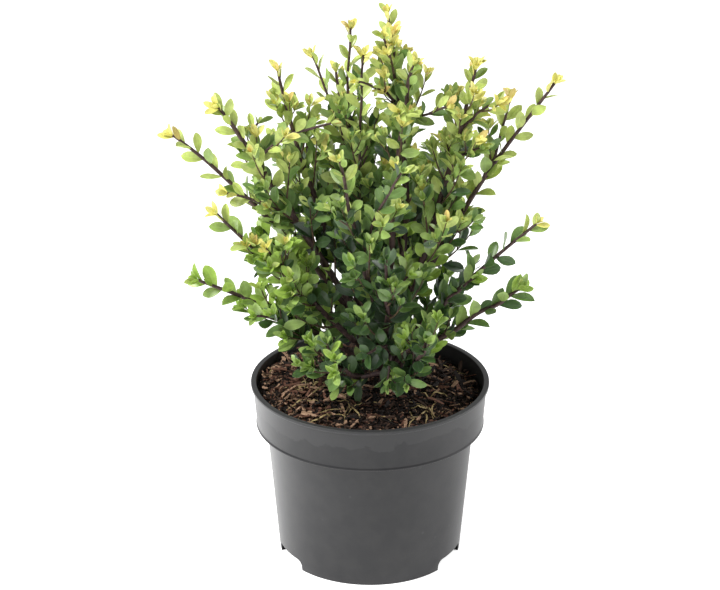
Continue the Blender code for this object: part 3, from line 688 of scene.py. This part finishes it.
class Shoot:
    def __init__(self, seed, name, sizes):
        self.name = name
        self.radius = sizes["radius"]
        self.bare = max(sizes["bough"], limbRule["bareFoot"])
        rise = sizes["height"] - soilShape["crown"]
        steep = rise / (rise + sizes["reach"])
        lift = mix(*trunkShape["startHeights"], steep)
        start = Vector((trunkShape["x"], trunkShape["y"], soilShape["crown"] + trunkShape["top"] * lift))
        middle = fromTrunk(sizes["azimuth"], sizes["reach"] * sizes["out"], start.z + rise * sizes["up"])
        tip = fromTrunk(sizes["azimuth"], sizes["reach"], sizes["height"])
        end = tip - (tip - middle).normalized() * limbRule["tuft"]
        steps = limbRule["steps"]
        self.path = crooked([curveAt(start, middle, end, k / steps) for k in range(steps + 1)], seed)
        self.twiggy = sizes["twiggy"]
        self.leaders = []
        for leader in leaderSizes.get(name, []):
            fork = self.bare + (1 - self.bare) * leader["fork"]
            root, ahead = pointOn(self.path, fork)
            leaderTip = fromTrunk(leader["azimuth"], leader["reach"], leader["height"])
            knee = root + ahead * (leaderTip - root).length * 0.45
            line = [curveAt(root, knee, leaderTip, k / 30) for k in range(31)]
            self.leaders.append((self.thick(fork) * 0.8, crooked(line, seed + fork)))

    def thick(self, share):
        return mix(self.radius, limbRule["tipRadius"], share ** limbRule["taper"])

    def bones(self):
        first = round(self.bare * limbRule["steps"])
        return self.path[first:] + [point for thick, line in self.leaders for point in line]


shoots = [Shoot(index, name, sizes) for index, (name, sizes) in enumerate(shootSizes.items())]


def makeBark():
    t = trunkShape
    bm = bmesh.new()
    levels = (0.0, 0.08, 0.2, 0.4, 0.65, 0.85, 1.0)
    foot = Vector((t["x"], t["y"], soilShape["crown"] - 0.004))
    path = [foot + Vector((0, 0, (t["top"] + 0.004) * level)) for level in levels]
    radii = [mix(t["radius"], t["flare"], (1 - level) ** 4) for level in levels]
    radii[-1] = t["radius"] * 0.6
    limbRings(bm, path, radii, 24)
    for shoot in shoots:
        last = max(2, round((shoot.bare + 0.02) * limbRule["steps"]))
        shares = [k / limbRule["steps"] for k in range(last + 1)]
        limbRings(bm, shoot.path[: last + 1], [shoot.thick(share) * 1.02 for share in shares], 12)
    bark = newObject("barkedLimbs", meshFrom("barkedLimbs", bm))
    skin = bark.modifiers.new("skin", "REMESH")
    skin.mode, skin.voxel_size = "VOXEL", t["voxel"]
    applyModifiers(bark)
    bm = bmesh.new()
    bm.from_mesh(bark.data)
    bmesh.ops.smooth_vert(bm, verts=bm.verts, factor=0.5, use_axis_x=True, use_axis_y=True, use_axis_z=True)
    bm.normal_update()
    for vertex in bm.verts:
        streak = noise.fractal(Matrix.Diagonal((700, 700, 230)) @ vertex.co, 0.8, 2.1, 3)
        vertex.co += vertex.normal * (streak - 0.3) * t["relief"]
    bark.data = meshFrom("barkedLimbs", bm)
    bark.data.shade_smooth()
    surface = newSurface(
        "shrubBark", (0.030, 0.016, 0.015), (0.085, 0.052, 0.045), 0.8, 500,
        dict(scale=1400, strength=0.5, depth=0.0005), 0.3, (1, 1, 0.35),
    )
    nodes = ["trunk"] + sorted(name for name in frame["nodes"] if name.startswith("bough_"))
    return finishPiece(bark, [surface], nodes)


# Twigs and leaves

twigRule = [  # for stems, then for twigs: how the next order of twig grows from them
    dict(pitch=0.0225, length=0.092, dwindle=0.72, angle=38, lift=0.46, first=0.02),
    dict(pitch=0.0370, length=0.034, dwindle=0.30, angle=42, lift=0.34, first=0.20),
]

twigShape = {
    "radii": (0.00115, 0.0008),
    "tipRadius": 0.00045,
    "tries": (1.0, 0.75, 0.55, 0.38),
    "most": 0.42,
    "spread": 0.35,
    "least": 0.007,
    "bareShare": 0.6,
    "soilGap": 0.006,
    "rimGap": 0.006,
    "sides": 5,
}

leafRule = {
    "pitch": (0.0080, 0.0092, 0.0088),
    "tipPitch": 0.0050,
    "tipReach": 0.026,
    "length": (0.0190, 0.0266),
    "tipLength": 0.0155,
    "ratio": (0.41, 0.52),
    "tipRatio": 0.39,
    "slimming": 0.14,
    "angle": (34, 62),
    "tipAngle": 32,
    "lift": 0.30,
    "rosette": 5,
    "rosetteSize": (0.0085, 0.0150),
    "calmRosette": 3,
    "calmSize": (0.0125, 0.0185),
    "calmBelow": 0.50,
    "bareStem": 0.10,
    "limeBelow": 0.34,
    "youngTip": 0.012,
    "pastTip": 0.86,
    "divide": 0.055,
}

extraVigour = {
    "front_left": 0.24, "front_right": 0.30, "left_low": 0.34, "left_mid": 0.22, "right_mid": 0.28, "right_low": 0.30,
    "crown_left": -0.08, "front_high": -0.10, "right_tall": 0.06, "far_right": 0.10, "left_upper": -0.04,
}

toneLimits = ((0.18, "Deepest"), (0.35, "Deep"), (0.50, "Mid"), (0.66, "Fresh"), (0.90, "Young"))

leafTones = {  # top colour, underside colour
    "Deepest": ((0.018, 0.042, 0.014), (0.110, 0.165, 0.075)),
    "Deep": ((0.044, 0.092, 0.026), (0.190, 0.255, 0.120)),
    "Mid": ((0.122, 0.212, 0.052), (0.290, 0.370, 0.170)),
    "Fresh": ((0.250, 0.362, 0.092), (0.410, 0.490, 0.220)),
    "Lime": ((0.290, 0.430, 0.075), (0.430, 0.540, 0.180)),
    "Young": ((0.430, 0.520, 0.140), (0.550, 0.610, 0.270)),
    "Tip": ((0.680, 0.650, 0.190), (0.720, 0.700, 0.300)),
    "Blush": ((0.710, 0.560, 0.190), (0.720, 0.600, 0.300)),
}

leafStations = (  # share of the length, and half width as a share of the whole width
    (0.07, 0.050), (0.20, 0.23), (0.38, 0.41), (0.57, 0.50), (0.75, 0.455), (0.91, 0.27)
)


def bladePoints(cup, droop, twist):
    points = [(0, 0, 0)]
    for along, half in leafStations:
        sag = -droop * along * along
        for across, lift in ((-half, 0), (0, 0.012), (half, 0), (0, -0.012)):
            rise = cup * abs(across) * 1.2 + twist * across * along
            points.append((along, across, sag + rise + lift))
    points.append((1, 0, -droop))
    return np.array(points, float)


bladeMargins = [0.3] + [1.0, 0.0, 1.0, 0.0] * len(leafStations) + [1.0]  # 0 on the midrib, 1 on the margin


def bladeFaces():
    faces, kinds = [], []
    for side in range(4):
        top = side in (0, 1)
        faces.append((0, 1 + (side + 1) % 4, 1 + side))
        kinds.append(0 if top else 1)
    for ring in range(len(leafStations) - 1):
        low = 1 + ring * 4
        for side in range(4):
            faces.append((low + side, low + (side + 1) % 4, low + 4 + (side + 1) % 4, low + 4 + side))
            kinds.append(0 if side in (0, 1) else 1)
    low, tip = 1 + (len(leafStations) - 1) * 4, 1 + len(leafStations) * 4
    for side in range(4):
        faces.append((low + side, low + (side + 1) % 4, tip))
        kinds.append(0 if side in (0, 1) else 1)
    return faces, kinds


class Foliage:
    def __init__(self):
        self.twigs = Heap()
        self.stems = Heap()
        self.blades = {tone: Heap() for tone in leafTones}
        self.faces, self.kinds = bladeFaces()
        self.leaves = 0
        every = [(bone, shoot.name) for shoot in shoots for bone in shoot.bones()]
        self.owners = [name for bone, name in every]
        self.tree = KDTree(len(every))
        for index, (bone, name) in enumerate(every):
            self.tree.insert(bone, index)
        self.tree.balance()

    def isFree(self, name, point):
        radius = point.xy.length
        if radius < potShape["rimRadius"] and point.z < soilHeight(radius) + twigShape["soilGap"]:
            return False
        if point.z < potShape["height"] + twigShape["rimGap"] and radius > innerRadius(point.z) - twigShape["rimGap"]:
            return False
        return self.owners[self.tree.find(point)[1]] == name

    def addLeaf(self, rng, root, direction, up, length, ratio, tone):
        along = direction.normalized()
        face = up - along * up.dot(along)
        if face.length < 1e-4:
            return
        face.normalize()
        across = face.cross(along)
        width = length * ratio
        tip = root + along * length
        radius = tip.xy.length
        if tip.z < soilHeight(radius) + 0.002 and radius < potShape["rimRadius"]:
            return
        if abs(tip.z - potShape["height"]) < 0.012 and abs(radius - potShape["rimRadius"]) < 0.008:
            return
        points = bladePoints(rng.uniform(0.02, 0.30), rng.uniform(-0.05, 0.14), rng.uniform(-0.25, 0.25))
        points = points * np.array((length, width, length))
        matrix = np.array((along, across, face))
        self.blades[tone].add(points @ matrix + np.array(root), self.faces, self.kinds)
        self.leaves += 1

    def toneFor(self, rng, youthAndShade, height, atTip=True):
        youthAndShade += rng.gauss(0, 0.11)
        if not atTip:
            youthAndShade = min(youthAndShade, leafRule["pastTip"])
        low = height < leafRule["limeBelow"]
        for limit, tone in toneLimits:
            if youthAndShade < limit:
                return "Lime" if low and tone == "Young" else tone
        if low:
            return rng.choice(("Lime", "Young"))
        return "Blush" if rng.random() < 0.14 else "Tip"

    def clothe(self, rng, path, rank, first, vigourAndShade):
        length = lengthOf(path)
        left = 0.003
        spin = rng.uniform(0, 360)
        while left < length * (1 - first):
            old = min(left / leafRule["tipReach"], 1)  # 0 for the leaves at the tip, 1 below it
            spin += 137.5 + rng.uniform(-16, 16)
            root, ahead = pointOn(path, 1 - left / length)
            side = ahead.orthogonal().normalized()
            side.rotate(Matrix.Rotation(math.radians(spin), 3, ahead))
            side.z += leafRule["lift"]
            angle = math.radians(mix(leafRule["tipAngle"], rng.uniform(*leafRule["angle"]), old ** 0.6))
            direction = ahead * math.cos(angle) + side.normalized() * math.sin(angle)
            sway = Vector([rng.uniform(-0.55, 0.55) for axis in range(3)])
            up = ahead * 0.5 + self.lightAt(root) * 0.75 + sway
            grown = mix(*leafRule["length"], rng.random() ** 0.8)
            slim = 1 - leafRule["slimming"] * min(max((root.z - 0.34) / 0.15, 0), 1)  # slimmer high up
            size = mix(leafRule["tipLength"] * rng.uniform(0.85, 1.15), grown, old ** 0.7) * slim
            ratio = mix(leafRule["tipRatio"], rng.uniform(*leafRule["ratio"]), old) * slim
            youthAndShade = vigourAndShade[0] + vigourAndShade[1] * math.exp(-left / 0.022)
            tone = self.toneFor(rng, youthAndShade, root.z, left < leafRule["youngTip"])
            self.addLeaf(rng, root, direction, up, size, ratio, tone)
            left += mix(leafRule["tipPitch"], leafRule["pitch"][rank], old) * rng.uniform(0.85, 1.15)
        tip, ahead = pointOn(path, 1)
        side = ahead.orthogonal().normalized()
        spin = rng.uniform(0, 360)
        calm = vigourAndShade[0] + vigourAndShade[1] < leafRule["calmBelow"]  # fewer, larger leaves where a tip isn't growing
        buds = leafRule["calmRosette" if calm else "rosette"]
        for index in range(buds):
            share = index / (buds - 1)
            out = side.copy()
            out.rotate(Matrix.Rotation(math.radians(spin + 137.5 * index), 3, ahead))
            angle = math.radians(mix(10, 46, share) + rng.uniform(-6, 6))
            direction = ahead * math.cos(angle) + out * math.sin(angle)
            size = mix(*leafRule["calmSize" if calm else "rosetteSize"], share) * rng.uniform(0.85, 1.15)
            tone = self.toneFor(rng, vigourAndShade[0] + vigourAndShade[1] * mix(1.25, 1.0, share), tip.z)
            up = ahead + self.lightAt(tip) * 0.5
            self.addLeaf(rng, tip - ahead * 0.0004 * index, direction, up, size, leafRule["tipRatio"], tone)

    def sprout(self, rng, name, path, rank, last):
        rule = twigRule[rank]
        length = lengthOf(path)
        travelled = length * rule["first"] + rule["pitch"] * rng.uniform(0.3, 0.9)
        spin = rng.uniform(0, 360)
        while travelled < length * last:
            share = travelled / length
            spin += 137.5 + rng.uniform(-22, 22)
            root, ahead = pointOn(path, share)
            side = ahead.orthogonal().normalized()
            side.rotate(Matrix.Rotation(math.radians(spin), 3, ahead))
            angle = math.radians(rule["angle"] + rng.uniform(-9, 9))
            direction = ahead * math.cos(angle) + side * math.sin(angle)
            lifted = (direction + Vector((0, 0, rule["lift"]))).normalized()
            reach = min(rule["length"] * (1 - rule["dwindle"] * share), length * twigShape["most"])
            reach *= min(twigShape["spread"] + last, 1)
            reach *= rng.uniform(0.55, 1.15)
            for shorter in twigShape["tries"]:
                long = reach * shorter
                if long < twigShape["least"]:
                    break
                line = [curveAt(root, root + direction * long / 2, root + lifted * long, k / 6) for k in range(7)]
                if all(self.isFree(name, spot) for spot in line[1:]):
                    self.addTwig(rng, name, line, rank + 1)
                    break
            travelled += rule["pitch"] * rng.uniform(0.75, 1.25) * mix(1.0, 0.6, min(length / 0.25, 1))

    def lightAt(self, point):  # the way a leaf turns its face: up and out to the nearer open side
        side = math.copysign(min(abs(point.y - leafRule["divide"]) / 0.03, 1), point.y - leafRule["divide"])
        return Vector((0, 0.85 * side, 0.5))

    def vigourAndShadeAt(self, rng, name, point):
        high = max((point.z - 0.20) / 0.33, 0)
        out = min((point.xy - Vector((trunkShape["x"], 0))).length / 0.16, 1.2)
        extra = extraVigour.get(name, 0) * out
        # The term that grows with nearness to the crown's middle is painted shade: leaves inside the crown get darker
        # tones.
        base = 0.62 * high ** 1.4 + 0.20 * out ** 2 - 0.07 * max(1 - out, 0) + extra / 2 + rng.gauss(0.025, 0.11)
        return base, 0.19 + 0.30 * min(high, 1) + extra

    def addTwig(self, rng, name, line, rank):
        thick = twigShape["radii"][rank - 1]
        radii = [mix(thick, twigShape["tipRadius"], k / (len(line) - 1)) for k in range(len(line))]
        addTube(self.twigs, line, radii, twigShape["sides"], 0)
        if rank < len(twigRule):
            self.sprout(rng, name, line, rank, 0.86)
        self.clothe(rng, line, rank, 0.14, self.vigourAndShadeAt(rng, name, line[-1]))

    def grow(self, shoot):
        rng = random.Random("foliage " + shoot.name)
        first = round(shoot.bare * limbRule["steps"])
        stem = shoot.path[first:]
        shares = [k / limbRule["steps"] for k in range(first, limbRule["steps"] + 1)]
        addTube(self.stems, stem, [shoot.thick(share) * limbRule["stout"] for share in shares], 8, 0)
        leafy = shoot.path[round(first * twigShape["bareShare"]):]
        self.sprout(rng, shoot.name, leafy, 0, shoot.twiggy)
        self.clothe(rng, leafy, 0, leafRule["bareStem"], self.vigourAndShadeAt(rng, shoot.name, stem[-1]))
        for thick, line in shoot.leaders:
            last = len(line) - 1
            addTube(self.stems, line, [mix(thick, limbRule["tipRadius"], k / last) for k in range(last + 1)], 8, 0)
            self.sprout(rng, shoot.name, line, 0, shoot.twiggy)
            self.clothe(rng, line, 0, 0.12, self.vigourAndShadeAt(rng, shoot.name, line[-1]))


def leafSurface(name, colour, gloss):
    paler = tuple(min(value * 1.22 + 0.004, 1) for value in colour)
    darker = tuple(value * 0.84 for value in colour)
    surface = newSurface(
        name, darker, paler, gloss, 140, dict(scale=1100, strength=0.12, depth=0.0002), 0.45
    )
    nodes, links = surface.node_tree.nodes, surface.node_tree.links
    shader = nodes["Principled BSDF"]
    margin = nodes.new("ShaderNodeAttribute")  # a paler midrib and a fine pale edge
    margin.attribute_name = "margin"
    veins = nodes.new("ShaderNodeValToRGB")
    for index, (place, shade) in enumerate(((0.0, 0.55), (0.14, 0.0), (0.80, 0.0), (1.0, 0.70))):
        stop = veins.color_ramp.elements[index] if index < 2 else veins.color_ramp.elements.new(place)
        stop.position, stop.color = place, (shade, shade, shade, 1)
    links.new(margin.outputs["Fac"], veins.inputs["Fac"])
    veined = nodes.new("ShaderNodeMix")
    veined.data_type = "RGBA"
    veined.inputs["B"].default_value = (*(min(value * 1.2 + 0.035, 1) for value in colour), 1)
    links.new(veins.outputs["Color"], veined.inputs["Factor"])
    links.new(shader.inputs["Base Color"].links[0].from_socket, veined.inputs["A"])
    links.new(veined.outputs["Result"], shader.inputs["Base Color"])
    shader.inputs["Subsurface Weight"].default_value = 0.04
    shader.inputs["Subsurface Radius"].default_value = (0.0014, 0.0024, 0.0005)
    shader.inputs["Subsurface Scale"].default_value = 1.0
    return surface


def makeFoliage():
    foliage = Foliage()
    for shoot in shoots:
        foliage.grow(shoot)
    masses = sorted(name for name in frame["nodes"] if name.startswith("foliage_"))
    stemBark = newSurface(
        "stemBark", (0.034, 0.017, 0.017), (0.090, 0.050, 0.045), 0.62, 420,
        dict(scale=1500, strength=0.4, depth=0.0004), 0.4, (1, 1, 0.4),
    )
    twigBark = newSurface(
        "twigBark", (0.055, 0.028, 0.022), (0.130, 0.085, 0.045), 0.6, 160,
        dict(scale=1800, strength=0.3, depth=0.0003), 0.4, (1, 1, 0.5),
    )
    finishPiece(newObject("leafyStems", foliage.stems.mesh("leafyStems", 70)), [stemBark], masses)
    finishPiece(newObject("twigs", foliage.twigs.mesh("twigs", 70)), [twigBark], masses)
    for tone, (top, under) in leafTones.items():
        heap = foliage.blades[tone]
        if not heap.count:
            continue
        surfaces = [leafSurface("leafTop" + tone, top, 0.34), leafSurface("leafUnder" + tone, under, 0.6)]
        name = "leaves" + tone
        mesh = heap.mesh(name, 50)
        margins = np.tile(bladeMargins, heap.count // len(bladeMargins))
        mesh.attributes.new("margin", "FLOAT", "POINT").data.foreach_set("value", margins)
        finishPiece(newObject(name, mesh), surfaces, masses)
        print(name, len(heap.faces), "faces")
    print(foliage.leaves, "leaves")


# The studio

studio = {
    "cameraPlace": (-0.0097, -2.6775, 1.4531),
    "cameraTilt": 66.095,
    "lens": 153.62,
    "floor": 12.0,
    "skyStrength": 0.55,
    "keyPlace": (-1.7, -0.7, 2.1),
    "keySize": 1.0,
    "keyWatts": 72,
    "rimPlace": (1.9, 0.2, 1.3),
    "rimSize": 1.2,
    "rimWatts": 29,
    "floorGlow": (0.45, 1.75),
    "poolPlace": (-0.30, 0.08, 0),
    "poolRadius": 0.45,
}


def makeStudio():
    scene = bpy.context.scene
    camera = bpy.data.objects.new("camera", bpy.data.cameras.new("camera"))
    camera.location = studio["cameraPlace"]
    camera.rotation_euler = (math.radians(studio["cameraTilt"]), 0, 0)
    camera.data.lens, camera.data.sensor_width = studio["lens"], 36
    camera.data.clip_start, camera.data.clip_end = 0.1, 100
    scene.collection.objects.link(camera)
    scene.camera = camera
    bm = bmesh.new()
    bmesh.ops.create_grid(bm, x_segments=4, y_segments=4, size=studio["floor"])
    floor = newObject("floor", meshFrom("floor", bm))
    white = bpy.data.materials.new("whiteFloor")
    white.use_nodes = True
    shader = white.node_tree.nodes["Principled BSDF"]
    shader.inputs["Base Color"].default_value = (0.93, 0.93, 0.93, 1)
    shader.inputs["Roughness"].default_value = 0.9
    shader.inputs["Specular IOR Level"].default_value = 0.1
    shader.inputs["Emission Color"].default_value = (1, 1, 1, 1)
    nodes, links = white.node_tree.nodes, white.node_tree.links
    place = nodes.new("ShaderNodeTexCoord")
    pool = nodes.new("ShaderNodeMapping")  # a brighter pool on the floor gives the pot's left side its sheen
    pool.vector_type = "TEXTURE"
    pool.inputs["Location"].default_value = studio["poolPlace"]
    pool.inputs["Scale"].default_value = (studio["poolRadius"],) * 3
    links.new(place.outputs["Object"], pool.inputs["Vector"])
    ball = nodes.new("ShaderNodeTexGradient")
    ball.gradient_type = "SPHERICAL"
    links.new(pool.outputs["Vector"], ball.inputs["Vector"])
    glow = nodes.new("ShaderNodeMapRange")
    glow.inputs["To Min"].default_value, glow.inputs["To Max"].default_value = studio["floorGlow"]
    links.new(ball.outputs["Fac"], glow.inputs["Value"])
    links.new(glow.outputs["Result"], shader.inputs["Emission Strength"])
    floor.data.materials.append(white)
    world = bpy.data.worlds.new("studio")
    scene.world = world
    world.use_nodes = True
    background = world.node_tree.nodes["Background"]
    background.inputs["Color"].default_value = (1, 1, 1, 1)
    background.inputs["Strength"].default_value = studio["skyStrength"]
    addLight("keyLight", studio["keyPlace"], studio["keySize"], studio["keyWatts"])
    addLight("rimLight", studio["rimPlace"], studio["rimSize"], studio["rimWatts"])
    scene.view_settings.view_transform = "Standard"
    scene.view_settings.look = "None"


def addLight(name, place, size, watts):
    light = bpy.data.lights.new(name, "AREA")
    light.shape, light.size, light.energy = "DISK", size, watts
    lamp = bpy.data.objects.new(name, light)
    lamp.location = place
    lamp.rotation_euler = (Vector((0, 0, 0.3)) - Vector(place)).to_track_quat("-Z", "Y").to_euler()
    bpy.context.scene.collection.objects.link(lamp)


makeStudio()
print("studio made")
makePot()
print("pot made")
makeSoil()
makeMulch()
print("soil and mulch made")
makeBark()
print("trunk and boughs made")
makeFoliage()
print("foliage made")
